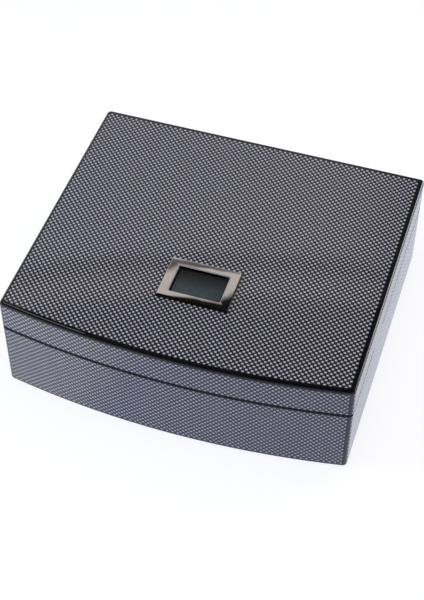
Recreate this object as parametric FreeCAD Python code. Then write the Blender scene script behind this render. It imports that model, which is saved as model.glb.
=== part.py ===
import FreeCAD, Part
import math
import os

# Bow-front humidor: a lacquered box with a hinged lid and a digital hygrometer set through the lid.
# Millimetres. The origin is on the table, under the middle of the side walls. +Z is up, +Y points to
# the hinges, and +X is to the right of someone who faces the bowed front.

V = FreeCAD.Vector
X_AXIS = V(1, 0, 0)
Z_AXIS = V(0, 0, 1)
TOUCH = 1e-4            # two coordinates closer than this are the same

# Outer box
BOX_W = 300.0           # width
SIDE_D = 252.0          # depth at the side walls
BOW = 14.0              # how far the front bulges past its corners
BOX_H = 100.0           # table to lid top
SEAM_Z = 70.0           # middle of the gap between base and lid
SEAM_GAP = 0.6
CORNER_R = 4.0          # upright corners
LID_EDGE_R = 3.0        # round-over of the lid top
BOTTOM_EDGE_R = 2.5
SEAM_EDGE = 1.2         # broken edges along the seam

# Boards, felt and cedar
WALL = 10.0
PANEL = 8.0             # bottom panel and lid top
FELT = 1.2
FELT_INSET = 6.0
CEDAR = 6.0             # lining of the walls
CEDAR_PANEL = 4.0       # lining of floor and ceiling
LIP = 6.0               # how far the lining stands above the rim
LIP_CHAMFER = 1.2
LIP_GAP = 0.4           # lid wall to lip
LIP_ROOM = 0.8          # lip top to lid lining

# Divider
DIVIDER_X = 45.0
DIVIDER_T = 5.0
DIVIDER_TOP = 62.0
DIVIDER_GAP = 0.6       # cleat to lining
DIVIDER_LIFT = 0.2      # above the floor
CLEAT_W = 17.0
CLEAT_T = 4.0
NOTCH_R = 16.0          # finger notch

# Quadrant hinges; sizes are for the right-hand one and the left is its mirror image
HINGE_OUT = 1.0         # pin axis behind the back face
KNUCKLE_R = 2.4
PIN_R = 1.0
RUNNING = 0.05          # radial clearance of a turning pin
BARREL_X = (112.0, 140.0)
KNUCKLE_SPLIT = (121.0, 131.0)
KNUCKLE_GAP = 0.2
BARREL_ROOM = 0.4       # wood to barrel
LEAF = 1.5              # leaf thickness
LEAF_X = (110.0, 148.2)
LEAF_SIDE_X = 141.2     # inner edge of the leg on the side wall
LEAF_Y0 = 80.0          # front end of that leg
LEAF_BACK_Y = 117.2     # inner edge of the leg on the back wall
LEAF_CUT = 2.0          # clipped corners
SCREW_AT = ((144.7, 84.5), (144.7, 114.5), (115.5, 120.5), (134.0, 120.5))
SCREW_HEAD_R = 2.2
SCREW_R = 1.1
SCREW_TIP_R = 0.5
SCREW_HEAD = 1.2
SCREW_L = 8.0
SCREW_SIDES = 12        # screws are small and many, so they are drawn with flats
LID_OPEN = 95.0         # degrees

# Lid stay: a bar pivoted in the lid that slides through a slot in each leaf
STAY_X = 144.7
STAY_T = 1.6
STAY_W = 4.0
STAY_REACH = 26.0       # pin axis to pivot, along Y
STAY_RISE = 3.0         # seam to pivot, along Z
STAY_EYE_R = 2.6
STAY_SLOT = (-3.0, 6.6)  # slot ends from the pivot, along Y
STAY_SLOT_W = 2.4
STAY_SWING = 11.5       # room in front of the bar inside the wall
PEG = 2.4               # square section of the stop
PEG_L = 4.2
PEG_GAP = 0.1
LUG_T = 1.5
LUG_CUT = 1.3
LUG_GAP = 0.15
POCKET_ROOM = 0.2

# Hygrometer, measured from its own centre
HYGRO = V(0, -56.7, 0)
BEZEL = (62.8, 45.4)
BEZEL_LAND = (60.0, 42.6)  # flat part of the top
BEZEL_H = 2.2
BEZEL_RIM = 0.9         # height of the outer edge
WINDOW = (43.9, 29.0)
WINDOW_R = 1.0
WINDOW_CHAMFER = 0.8
BODY = (52.0, 37.4)     # collar of the bezel and housing below it
BODY_WALL = 1.3
BODY_CUT = 0.4          # clearance of the hole in the lid
COLLAR = 3.4            # lid top to bottom of collar
LENS_T = 0.8
MASK_T = 0.3
MASK_OPEN = (41.3, 26.4)
GLASS_T = 1.8
GLASS_PLAY = 0.2
STRIP = (44.0, 1.6)     # contact strips between glass and board
STRIP_Y = 14.0
BOARD_T = 1.2
BOARD_Z = 94.4          # underside of the circuit board
HOUSING_Z = 83.6
HOUSING_FLOOR = 1.6
POST = 4.0
CELL_X = -11.0
CELL_R = 10.0
CELL_T = 3.2
CELL_PLAY = 0.4
DOOR = (25.0, 24.6)
DOOR_T = 1.2
DOOR_GAP = 0.1
RAIL_W = 1.2
RAIL_LIP = 1.2
RAIL_T = 0.7
RAIL_PLAY = 0.25
RIDGES = 4              # grip ridges on the door
RIDGE = (1.2, 12.0)
RIDGE_PITCH = 2.5
RIDGE_H = 0.7
SPRING_T = 0.3
SPRING_W = 4.0
BUTTON = (7.0, 4.0)
BUTTON_X = 14.0
BUTTON_Y = 9.0
BUTTON_H = 5.0
BUTTON_OUT = 1.5        # how far it stands below the housing
BUTTON_EDGE = 0.6
BUTTON_FLANGE = 0.8     # how far the flange stands out, and its thickness
BUTTON_PLAY = 0.3
BUTTON_TRAVEL = 0.8
SWITCH = 6.0
SWITCH_H = 3.4
PLUNGER = 3.0
VENTS = 5
VENT = (1.2, 5.0)
VENT_PITCH = 2.4
VENT_X = 14.0
COLLAR_FRAME = (64.0, 49.0)
COLLAR_FRAME_T = 2.0
COLLAR_FRAME_R = 3.0
FRAME_PLAY = 0.3
CATCH = (1.2, 10.0)     # catch ribs under the snap collar

# Humidifier on the lid ceiling, measured from its own centre
HUMID = V(0, 38.0, 0)
CASE = (112.0, 60.0)
CASE_R = 6.0
CASE_WALL = 1.6
CASE_TOP = 3.2
CASE_Z = 74.0
GRILLE_T = 1.6
STEEL = (70.0, 30.0)
STEEL_T = 0.8
MAGNET = (24.0, 18.0)
MAGNET_T = 2.0
MAGNET_X = 20.0
FOAM = (104.0, 52.0)
FOAM_H = 8.0
SHUTTER = (97.0, 50.0)
SHUTTER_T = 1.2
SHUTTER_GAP = 0.1
SHUTTER_TRAVEL = 5.0
SLOTS = 9
SLOT = (4.0, 36.0)
SLOT_PITCH = 10.0
TAB = (6.0, 5.0)
TAB_Y = -22.0
TAB_DROP = 1.5
TAB_PLAY = 0.4

# Heights and inner half sizes worked out from the above
RIM_Z = SEAM_Z - SEAM_GAP / 2
LID_RIM_Z = SEAM_Z + SEAM_GAP / 2
BOTTOM_Z = FELT + PANEL
FLOOR_Z = BOTTOM_Z + CEDAR_PANEL
LIP_Z = RIM_Z + LIP
PANEL_Z = BOX_H - PANEL
CEILING_Z = PANEL_Z - CEDAR_PANEL
BACK_Y = SIDE_D / 2
INNER_X = BOX_W / 2 - WALL
INNER_Y = BACK_Y - WALL
LID_INNER_X = INNER_X + LIP_GAP
LID_INNER_Y = INNER_Y + LIP_GAP
BOW_R = (BOX_W ** 2 / 4 + BOW ** 2) / (2 * BOW)
BOW_Y = BOW_R - BACK_Y - BOW          # centre of the bow's arc
HINGE_Y = BACK_Y + HINGE_OUT
LEAF_REAR = HINGE_Y - KNUCKLE_R - BARREL_ROOM
STAY_Y = HINGE_Y - STAY_REACH
STAY_Z = SEAM_Z + STAY_RISE


def block(x, y, z):
    """Box between pairs of limits."""
    return Part.makeBox(x[1] - x[0], y[1] - y[0], z[1] - z[0], V(x[0], y[0], z[0]))


def plate(centre, size, z, radius=0.0):
    """Flat plate around a plan point, with rounded upright corners."""
    x = (centre.x - size[0] / 2, centre.x + size[0] / 2)
    y = (centre.y - size[1] / 2, centre.y + size[1] / 2)
    body = block(x, y, z)
    return body.makeFillet(radius, uprights(body)) if radius else body


def prism(points, z):
    """Straight prism on a plan polygon."""
    corners = [V(x, y, z[0]) for x, y in points]
    outline = Part.makePolygon(corners + corners[:1])
    return Part.Face(outline).extrude(V(0, 0, z[1] - z[0]))


def rod(x, y, z, radius):
    """Cylinder along X between two limits."""
    return Part.makeCylinder(radius, x[1] - x[0], V(x[0], y, z), X_AXIS)


def disc(centre, z, radius):
    """Upright cylinder between two heights."""
    return Part.makeCylinder(radius, z[1] - z[0], V(centre.x, centre.y, z[0]), Z_AXIS)


def mirrored(shape):
    """The left-hand copy of a right-hand shape."""
    return shape.mirror(V(0, 0, 0), X_AXIS)


def uprights(shape):
    """Straight upright edges."""
    return [edge for edge in shape.Edges
            if edge.BoundBox.XLength < TOUCH and edge.BoundBox.YLength < TOUCH]


def edges_at(shape, **places):
    """Edges that lie wholly at the given coordinates."""
    found = []
    for edge in shape.Edges:
        box = edge.BoundBox
        limits = {"x": (box.XMin, box.XMax), "y": (box.YMin, box.YMax), "z": (box.ZMin, box.ZMax)}
        if all(abs(limit - place) < TOUCH for key, place in places.items() for limit in limits[key]):
            found.append(edge)
    return found


def bow_prism(inset, z):
    """Plan outline of the box, drawn in by an inset, between two heights."""
    radius = BOW_R - inset
    half = BOX_W / 2 - inset
    back = BACK_Y - inset
    corner = BOW_Y - math.sqrt(radius ** 2 - half ** 2)
    front = Part.Arc(V(half, corner, z[0]), V(0, BOW_Y - radius, z[0]), V(-half, corner, z[0])).toShape()
    sides = [V(-half, corner, z[0]), V(-half, back, z[0]), V(half, back, z[0]), V(half, corner, z[0])]
    outline = Part.Wire([front] + Part.makePolygon(sides).Edges)
    return Part.Face(outline).extrude(V(0, 0, z[1] - z[0]))


def rounded_body(z, outer_z, outer_radius, seam_z):
    """Outer form of the base or of the lid: round corners and outer edge, broken seam edge."""
    body = bow_prism(0.0, z)
    body = body.makeFillet(CORNER_R, uprights(body))
    body = body.makeFillet(outer_radius, edges_at(body, z=outer_z))
    return body.makeChamfer(SEAM_EDGE, edges_at(body, z=seam_z))


def mitred(ring, prefix, kind):
    """Cut a four-sided ring into its boards along 45 degree mitres."""
    x = BOX_W / 2
    outside = WALL + BOW
    inside = 2 * WALL
    corners = {}
    for name, reach in (("out", outside), ("in", -inside)):
        corners[name] = [(-x - reach, -BACK_Y - reach), (x + reach, -BACK_Y - reach),
                         (x + reach, BACK_Y + reach), (-x - reach, BACK_Y + reach)]
    boards = {}
    for index, side in enumerate(("front", "right", "back", "left")):
        after = (index + 1) % 4
        wedge = [corners["out"][index], corners["out"][after],
                 corners["in"][after], corners["in"][index]]
        boards[f"{prefix}_{side}_{kind}"] = ring.common(prism(wedge, (0.0, BOX_H)))
    return boards


def carcass(base_cuts, lid_cuts):
    """Walls, rails and panels of base and lid, with the hinge mortises."""
    base = rounded_body((FELT, RIM_Z), FELT, BOTTOM_EDGE_R, RIM_Z)
    lid = rounded_body((LID_RIM_Z, BOX_H), BOX_H, LID_EDGE_R, LID_RIM_Z)
    far = (-BOX_W, BOX_W)
    base_hollow = block((-INNER_X, INNER_X), (-INNER_Y, INNER_Y), (BOTTOM_Z, BOX_H))
    lid_hollow = block((-LID_INNER_X, LID_INNER_X), (-LID_INNER_Y, LID_INNER_Y), (0.0, PANEL_Z))
    bottom = block(far, far, (0.0, BOTTOM_Z))
    top = block(far, far, (PANEL_Z, BOX_H))
    walls = base.cut([bottom, base_hollow] + base_cuts)
    rails = lid.cut([top, lid_hollow] + lid_cuts)
    boards = mitred(walls, "base", "wall")
    boards.update(mitred(rails, "lid", "rail"))
    boards["base_bottom_panel"] = base.common(bottom)
    boards["lid_top_panel"] = lid.common(top).cut(hygrometer_hole())
    felt = bow_prism(FELT_INSET, (0.0, FELT))
    boards["felt_pad"] = felt.makeFillet(CORNER_R, uprights(felt))
    return boards


def hygrometer_hole():
    """Rectangular hole through the lid top and its lining."""
    size = [side + 2 * BODY_CUT for side in BODY]
    return plate(HYGRO, size, (CEILING_Z, BOX_H + BEZEL_H))


def four_linings(prefix, half_x, half_y, z):
    """Side boards at full length and front and back boards between them."""
    across = half_x - CEDAR
    return {
        f"{prefix}_left": block((-half_x, -across), (-half_y, half_y), z),
        f"{prefix}_right": block((across, half_x), (-half_y, half_y), z),
        f"{prefix}_front": block((-across, across), (-half_y, CEDAR - half_y), z),
        f"{prefix}_back": block((-across, across), (half_y - CEDAR, half_y), z),
    }


def linings():
    """Cedar boards of base and lid; the base boards stand above the rim as a sealing lip."""
    boards = four_linings("lining", INNER_X, INNER_Y, (FLOOR_Z, LIP_Z))
    outer_face = {"left": {"x": -INNER_X}, "right": {"x": INNER_X},
                  "front": {"y": -INNER_Y}, "back": {"y": INNER_Y}}
    for side, face in outer_face.items():
        board = boards[f"lining_{side}"]
        boards[f"lining_{side}"] = board.makeChamfer(LIP_CHAMFER, edges_at(board, z=LIP_Z, **face))
    boards["lining_floor"] = block((-INNER_X, INNER_X), (-INNER_Y, INNER_Y), (BOTTOM_Z, FLOOR_Z))
    boards.update(four_linings("lid_lining", LID_INNER_X, LID_INNER_Y, (LIP_Z + LIP_ROOM, CEILING_Z)))
    ceiling = block((-LID_INNER_X, LID_INNER_X), (-LID_INNER_Y, LID_INNER_Y), (CEILING_Z, PANEL_Z))
    boards["lid_lining_ceiling"] = ceiling.cut(hygrometer_hole())
    return boards


def divider():
    """Loose board across the box with a finger notch and a cleat at each end."""
    end = INNER_Y - CEDAR - DIVIDER_GAP
    z = (FLOOR_Z + DIVIDER_LIFT, DIVIDER_TOP)
    half = DIVIDER_T / 2
    x = (DIVIDER_X - half, DIVIDER_X + half)
    board = block(x, (CLEAT_T - end, end - CLEAT_T), z)
    board = board.cut(rod(x, 0.0, DIVIDER_TOP, NOTCH_R))
    wide = (DIVIDER_X - CLEAT_W / 2, DIVIDER_X + CLEAT_W / 2)
    front = block(wide, (-end, CLEAT_T - end), z)
    back = block(wide, (end - CLEAT_T, end), z)
    return {"divider": board, "divider_cleats": Part.makeCompound([front, back])}


def screw(x, y, z, way):
    """Countersunk screw with its head face at height z and its point along +Z or -Z."""
    rings = []
    for depth, radius in ((0.0, SCREW_HEAD_R), (SCREW_HEAD, SCREW_R), (SCREW_L, SCREW_TIP_R)):
        ring = []
        for index in range(SCREW_SIDES):
            turn = -way * 2 * math.pi * index / SCREW_SIDES
            ring.append(V(x + radius * math.cos(turn), y + radius * math.sin(turn), z + way * depth))
        rings.append(ring)
    outlines = [rings[0], rings[-1][::-1]]
    for upper, lower in zip(rings, rings[1:]):
        for index in range(SCREW_SIDES):
            before = index - 1
            outlines.append([upper[index], upper[before], lower[before], lower[index]])
    faces = [Part.Face(Part.makePolygon(corners + corners[:1])) for corners in outlines]
    return Part.makeSolid(Part.makeShell(faces))


def leaf_plate(z):
    """L-shaped hinge leaf without knuckles or holes."""
    outline = [(LEAF_X[0], LEAF_BACK_Y), (LEAF_SIDE_X, LEAF_BACK_Y), (LEAF_SIDE_X, LEAF_Y0),
               (LEAF_X[1], LEAF_Y0), (LEAF_X[1], LEAF_REAR), (LEAF_X[0], LEAF_REAR)]
    body = prism(outline, z)
    inner = edges_at(body, x=LEAF_SIDE_X, y=LEAF_BACK_Y)
    outer = [edge for edge in uprights(body) if not any(edge.isSame(other) for other in inner)]
    return body.makeChamfer(LEAF_CUT, outer)


def knuckles(spans, z, bore):
    """Knuckles of one leaf with the tongues that carry them."""
    pieces = []
    for span in spans:
        barrel = rod(span, HINGE_Y, SEAM_Z, KNUCKLE_R)
        tongue = block(span, (LEAF_REAR - LEAF, HINGE_Y), z)
        pieces.append(barrel.fuse(tongue))
    hole = rod(BARREL_X, HINGE_Y, SEAM_Z, bore)
    return [piece.cut(hole) for piece in pieces]


def stay_geometry():
    """Distance from the stay's pivot to its stop peg, so that the peg stops the lid when it is open.

    The pivot and the slot in the base leaf lie at equal distances from the hinge pin, so the bar
    always turns half as far as the lid and passes through one fixed point in the slot.
    """
    radius = math.hypot(STAY_REACH, STAY_RISE)
    offset = math.atan2(STAY_RISE, STAY_REACH)
    tilt = math.radians(LID_OPEN) / 2
    chord = 2 * radius * math.sin(tilt + offset)
    slot_z = SEAM_Z - STAY_RISE
    peg_top = PEG / 2 * (math.cos(tilt) + math.sin(tilt))
    below = (slot_z + peg_top + PEG_GAP - (RIM_Z - LEAF)) / math.cos(tilt)
    return chord + below


def stay_bar():
    """Flat bar with a pivot eye at the top and a cross peg at the bottom."""
    x = (STAY_X - STAY_T / 2, STAY_X + STAY_T / 2)
    low = STAY_Z - stay_geometry()
    bar = block(x, (STAY_Y - STAY_W / 2, STAY_Y + STAY_W / 2), (low - PEG / 2, STAY_Z))
    eye = rod(x, STAY_Y, STAY_Z, STAY_EYE_R)
    peg = block((STAY_X - PEG_L / 2, STAY_X + PEG_L / 2), (STAY_Y - PEG / 2, STAY_Y + PEG / 2),
                (low - PEG / 2, low + PEG / 2))
    hole = rod(x, STAY_Y, STAY_Z, PIN_R + RUNNING)
    return bar.fuse([eye, peg]).removeSplitter().cut(hole)


def stay_lug():
    """Lug that stands on the lid leaf beside the stay, and the rivet that joins them."""
    face = STAY_X + STAY_T / 2 + LUG_GAP
    x = (face, face + LUG_T)
    y = (STAY_Y - STAY_EYE_R, STAY_Y + STAY_EYE_R)
    top = STAY_Z + STAY_EYE_R
    lug = block(x, y, (LID_RIM_Z, top))
    lug = lug.makeChamfer(LUG_CUT, edges_at(lug, y=y[0], z=top) + edges_at(lug, y=y[1], z=top))
    rivet = rod((STAY_X - STAY_T / 2 - LUG_GAP, x[1]), STAY_Y, STAY_Z, PIN_R)
    return lug, rivet


def stay_pockets():
    """Mortises for the stay in the base wall and in the lid rail."""
    base_half = PEG_L / 2 + POCKET_ROOM
    lid_half = STAY_T / 2 + LUG_GAP + LUG_T + POCKET_ROOM
    base_y = (STAY_Y - STAY_SWING, STAY_Y + STAY_SLOT[1] + POCKET_ROOM)
    lid_y = (STAY_Y + STAY_SLOT[0] - POCKET_ROOM, STAY_Y + STAY_SLOT[1] + POCKET_ROOM)
    low = STAY_Z - stay_geometry() - STAY_W
    base = block((STAY_X - base_half, STAY_X + base_half), base_y, (low, RIM_Z))
    high = STAY_Z + STAY_EYE_R + POCKET_ROOM
    lid = block((STAY_X - lid_half, STAY_X + lid_half), lid_y, (LID_RIM_Z, high))
    return base, lid


def hinges():
    """Both quadrant hinges with their stays and screws, and the mortises that they need."""
    base_z = (RIM_Z - LEAF, RIM_Z)
    lid_z = (LID_RIM_Z, LID_RIM_Z + LEAF)
    base_spans = [(BARREL_X[0], KNUCKLE_SPLIT[0] - KNUCKLE_GAP),
                  (KNUCKLE_SPLIT[1] + KNUCKLE_GAP, BARREL_X[1])]
    base_screws = [screw(x, y, RIM_Z, -1) for x, y in SCREW_AT]
    lid_screws = [screw(x, y, LID_RIM_Z, 1) for x, y in SCREW_AT]
    slot_x = (STAY_X - STAY_SLOT_W / 2, STAY_X + STAY_SLOT_W / 2)
    slot_y = (STAY_Y + STAY_SLOT[0], STAY_Y + STAY_SLOT[1])
    slot = block(slot_x, slot_y, (base_z[0], lid_z[1]))
    lug, rivet = stay_lug()
    base_plate = leaf_plate(base_z)
    lid_plate = leaf_plate(lid_z)

    base_leaf = base_plate.fuse(knuckles(base_spans, base_z, PIN_R)).removeSplitter()
    base_leaf = base_leaf.cut([slot] + base_screws)
    lid_leaf = lid_plate.fuse(knuckles([KNUCKLE_SPLIT], lid_z, PIN_R + RUNNING)).removeSplitter()
    lid_leaf = lid_leaf.cut([slot] + lid_screws).fuse(lug).removeSplitter().cut(rivet)

    pin = rod(BARREL_X, HINGE_Y, SEAM_Z, PIN_R)
    around = KNUCKLE_R + BARREL_ROOM
    barrel_room = block((BARREL_X[0] - BARREL_ROOM, BARREL_X[1] + BARREL_ROOM),
                        (HINGE_Y - around, HINGE_Y + around), (SEAM_Z - around, SEAM_Z + around))
    base_pocket, lid_pocket = stay_pockets()
    base_cuts = [base_plate, barrel_room, base_pocket] + base_screws
    lid_cuts = [lid_plate, barrel_room, lid_pocket] + lid_screws

    right = {"hinge_base_leaf": base_leaf, "hinge_lid_leaf": lid_leaf,
             "hinge_pin": pin, "stay": stay_bar()}
    pieces = {}
    for name, shape in right.items():
        pieces[f"{name}_right"] = shape
        pieces[f"{name}_left"] = mirrored(shape)
    groups = {"hinge_base_screws": base_screws, "hinge_lid_screws": lid_screws, "stay_rivets": [rivet]}
    for name, shapes in groups.items():
        pieces[name] = Part.makeCompound(shapes + [mirrored(shape) for shape in shapes])
    base_cuts += [mirrored(shape) for shape in base_cuts]
    lid_cuts += [mirrored(shape) for shape in lid_cuts]
    return pieces, base_cuts, lid_cuts


def crowned_bar(size, land, length):
    """Bar along Y whose top is flat in the middle and rolls down to both edges."""
    half = size / 2
    flat = land / 2
    rise = BEZEL_H - BEZEL_RIM
    radius = ((half - flat) ** 2 + rise ** 2) / (2 * rise)
    turn = math.asin((half - flat) / radius) / 2
    mid_x = flat + radius * math.sin(turn)
    mid_z = BEZEL_H - radius * (1 - math.cos(turn))
    right = Part.Arc(V(half, 0, BEZEL_RIM), V(mid_x, 0, mid_z), V(flat, 0, BEZEL_H)).toShape()
    left = Part.Arc(V(-flat, 0, BEZEL_H), V(-mid_x, 0, mid_z), V(-half, 0, BEZEL_RIM)).toShape()
    top = Part.makeLine(V(flat, 0, BEZEL_H), V(-flat, 0, BEZEL_H))
    foot = Part.makePolygon([V(-half, 0, BEZEL_RIM), V(-half, 0, 0), V(half, 0, 0), V(half, 0, BEZEL_RIM)])
    profile = Part.Face(Part.Wire([right, top, left] + foot.Edges))
    bar = profile.extrude(V(0, length, 0))
    bar.translate(V(0, -length / 2, 0))
    return bar


def bezel():
    """Frame that rolls down on all four sides, with a chamfered window and a collar below."""
    lengthwise = crowned_bar(BEZEL[0], BEZEL_LAND[0], BEZEL[1])
    crosswise = crowned_bar(BEZEL[1], BEZEL_LAND[1], BEZEL[0])
    crosswise.rotate(V(0, 0, 0), Z_AXIS, 90)
    frame = lengthwise.common(crosswise)
    frame = frame.cut(plate(V(0, 0, 0), WINDOW, (0.0, BEZEL_H), WINDOW_R))
    mouth = [edge for edge in edges_at(frame, z=BEZEL_H)
             if abs(edge.CenterOfMass.x) < BEZEL_LAND[0] / 2 - TOUCH
             and abs(edge.CenterOfMass.y) < BEZEL_LAND[1] / 2 - TOUCH]
    frame = frame.makeChamfer(WINDOW_CHAMFER, mouth)
    inner = [side - 2 * BODY_WALL for side in BODY]
    collar = plate(V(0, 0, 0), BODY, (-COLLAR, 0.0)).cut(plate(V(0, 0, 0), inner, (-COLLAR, 0.0)))
    frame = frame.fuse(collar).removeSplitter()
    frame.translate(HYGRO + V(0, 0, BOX_H))
    return frame


def display():
    """Lens, black mask and liquid-crystal glass, stacked under the bezel."""
    size = [side - 2 * BODY_WALL - 2 * GLASS_PLAY for side in BODY]
    lens_z = BOX_H - LENS_T
    mask_z = lens_z - MASK_T
    mask = plate(HYGRO, size, (mask_z, lens_z)).cut(plate(HYGRO, MASK_OPEN, (mask_z, lens_z)))
    glass_z = mask_z - GLASS_T
    strips = [plate(HYGRO + V(0, y, 0), STRIP, (BOARD_Z + BOARD_T, glass_z)) for y in (-STRIP_Y, STRIP_Y)]
    return {
        "hygrometer_lens": plate(HYGRO, size, (lens_z, BOX_H)),
        "display_mask": mask,
        "display_glass": plate(HYGRO, size, (glass_z, mask_z)),
        "contact_strips": Part.makeCompound(strips),
        "circuit_board": plate(HYGRO, size, (BOARD_Z, BOARD_Z + BOARD_T)),
    }


def button_places():
    """Plan points of the two buttons."""
    return [HYGRO + V(BUTTON_X, -BUTTON_Y, 0), HYGRO + V(BUTTON_X, BUTTON_Y, 0)]


def door_rails():
    """Two channel rails and an end stop under the housing that guide the battery door."""
    x = (HYGRO.x + CELL_X - DOOR[0] / 2, HYGRO.x + CELL_X + DOOR[0] / 2 + RAIL_PLAY)
    under = HOUSING_Z - DOOR_GAP - DOOR_T - RAIL_PLAY
    z = (under - RAIL_T, HOUSING_Z)
    inner = DOOR[1] / 2 + RAIL_PLAY
    rails = []
    for side in (-1, 1):
        web = sorted((HYGRO.y + side * inner, HYGRO.y + side * (inner + RAIL_W)))
        lip = sorted((HYGRO.y + side * (inner - RAIL_LIP), HYGRO.y + side * (inner + RAIL_W)))
        rails.append(block(x, web, z))
        rails.append(block(x, lip, (z[0], under)))
    stop_y = (HYGRO.y - inner - RAIL_W, HYGRO.y + inner + RAIL_W)
    rails.append(block((x[1], x[1] + RAIL_W), stop_y, z))
    return rails


def housing():
    """Open-topped tub with cell opening, posts, door rails, vents and catch ribs."""
    top = BOX_H - COLLAR
    floor = HOUSING_Z + HOUSING_FLOOR
    inner = [side - 2 * BODY_WALL for side in BODY]
    cell = HYGRO + V(CELL_X, 0, 0)
    tub = plate(HYGRO, BODY, (HOUSING_Z, top)).cut(plate(HYGRO, inner, (floor, top)))
    posts = []
    for side_x in (-1, 1):
        for side_y in (-1, 1):
            corner = V(side_x * (inner[0] - POST) / 2, side_y * (inner[1] - POST) / 2, 0)
            posts.append(plate(HYGRO + corner, (POST, POST), (HOUSING_Z, BOARD_Z)))
    frame_z = CEILING_Z - COLLAR_FRAME_T
    catch_z = (frame_z - CATCH[0], frame_z)
    catches = [plate(HYGRO + V(side * (BODY[0] + CATCH[0]) / 2, 0, 0), CATCH, catch_z) for side in (-1, 1)]
    tub = tub.fuse(posts + catches + door_rails()).removeSplitter()
    holes = [disc(cell, (HOUSING_Z, floor), CELL_R + CELL_PLAY)]
    button_hole = [side + 2 * BUTTON_PLAY for side in BUTTON]
    holes += [plate(place, button_hole, (HOUSING_Z, floor)) for place in button_places()]
    for index in range(VENTS):
        offset = (index - (VENTS - 1) / 2) * VENT_PITCH
        holes.append(plate(HYGRO + V(VENT_X + offset, 0, 0), VENT, (HOUSING_Z, floor)))
    return tub.cut(holes)


def battery_parts():
    """Coin cell, the spring that presses on it and the sliding door below it."""
    cell = HYGRO + V(CELL_X, 0, 0)
    door_z = (HOUSING_Z - DOOR_GAP - DOOR_T, HOUSING_Z - DOOR_GAP)
    door = plate(cell, DOOR, door_z)
    ridge_z = (door_z[0] - RIDGE_H, door_z[0])
    ridges = [plate(cell - V(index * RIDGE_PITCH, 0, 0), RIDGE, ridge_z) for index in range(RIDGES)]
    cell_z = (HOUSING_Z, HOUSING_Z + CELL_T)
    reach = CELL_R - SPRING_W / 2
    line = [(cell.x - reach, BOARD_Z), (cell.x - reach / 2, BOARD_Z), (cell.x, cell_z[1] + SPRING_T),
            (cell.x + reach / 2, cell_z[1] + SPRING_T)]
    y = cell.y - SPRING_W / 2
    points = [V(x, y, z) for x, z in line] + [V(x, y, z - SPRING_T) for x, z in reversed(line)]
    spring = Part.Face(Part.makePolygon(points + points[:1])).extrude(V(0, SPRING_W, 0))
    return {
        "coin_cell": disc(cell, cell_z, CELL_R),
        "battery_spring": spring,
        "battery_door": door.fuse(ridges).removeSplitter(),
    }


def buttons():
    """Two push buttons with retaining flanges, and the switches that they press."""
    low = HOUSING_Z - BUTTON_OUT
    flange = [side + 2 * BUTTON_FLANGE for side in BUTTON]
    flange_z = HOUSING_Z + HOUSING_FLOOR + BUTTON_PLAY
    pieces = {}
    switches = []
    for name, place in zip(("unit_button", "memory_button"), button_places()):
        cap = plate(place, BUTTON, (low, low + BUTTON_H))
        cap = cap.makeChamfer(BUTTON_EDGE, edges_at(cap, z=low))
        pieces[name] = cap.fuse(plate(place, flange, (flange_z, flange_z + BUTTON_FLANGE))).removeSplitter()
        plunger_z = low + BUTTON_H + BUTTON_TRAVEL + BUTTON_PLAY
        body = plate(place, (SWITCH, SWITCH), (BOARD_Z - SWITCH_H, BOARD_Z))
        plunger = plate(place, (PLUNGER, PLUNGER), (plunger_z, BOARD_Z - SWITCH_H))
        switches.append(body.fuse(plunger).removeSplitter())
    pieces["tact_switches"] = Part.makeCompound(switches)
    return pieces


def hygrometer():
    """Display module through the lid, clamped by a snap collar under the ceiling."""
    pieces = {"hygrometer_bezel": bezel(), "hygrometer_housing": housing()}
    pieces.update(display())
    pieces.update(battery_parts())
    pieces.update(buttons())
    z = (CEILING_Z - COLLAR_FRAME_T, CEILING_Z)
    opening = [side + 2 * FRAME_PLAY for side in BODY]
    collar = plate(HYGRO, COLLAR_FRAME, z, COLLAR_FRAME_R)
    pieces["hygrometer_retainer"] = collar.cut(plate(HYGRO, opening, z))
    return pieces


def slotted(size, z, radius):
    """Plate with the humidifier's row of slots."""
    slots = []
    for index in range(SLOTS):
        offset = (index - (SLOTS - 1) / 2) * SLOT_PITCH
        slots.append(plate(HUMID + V(offset, 0, 0), SLOT, z))
    return plate(HUMID, size, z, radius).cut(slots)


def humidifier():
    """Foam-filled case held by magnets, with a slotted grille and a sliding shutter behind it."""
    top = CEILING_Z - STEEL_T
    inner = [side - 2 * CASE_WALL for side in CASE]
    magnets = [plate(HUMID + V(x, 0, 0), MAGNET, (top - MAGNET_T, top)) for x in (-MAGNET_X, MAGNET_X)]
    case = plate(HUMID, CASE, (CASE_Z, top), CASE_R)
    case = case.cut([plate(HUMID, inner, (CASE_Z, top - CASE_TOP), CASE_R - CASE_WALL)] + magnets)
    foam_top = top - CASE_TOP
    shutter_z = (CASE_Z + SHUTTER_GAP, CASE_Z + SHUTTER_GAP + SHUTTER_T)
    grille_z = (CASE_Z - GRILLE_T, CASE_Z)
    tab_at = HUMID + V(0, TAB_Y, 0)
    tab = plate(tab_at, TAB, (grille_z[0] - TAB_DROP, shutter_z[0]))
    slot_size = (TAB[0] + SHUTTER_TRAVEL + 2 * TAB_PLAY, TAB[1] + 2 * TAB_PLAY)
    tab_slot = plate(tab_at + V(SHUTTER_TRAVEL / 2, 0, 0), slot_size, grille_z)
    return {
        "humidifier_plate": plate(HUMID, STEEL, (top, CEILING_Z)),
        "humidifier_magnets": Part.makeCompound(magnets),
        "humidifier_case": case,
        "humidifier_foam": plate(HUMID, FOAM, (foam_top - FOAM_H, foam_top)),
        "humidifier_shutter": slotted(SHUTTER, shutter_z, 0.0).fuse(tab).removeSplitter(),
        "humidifier_grille": slotted(CASE, grille_z, CASE_R).cut(tab_slot),
    }


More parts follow.
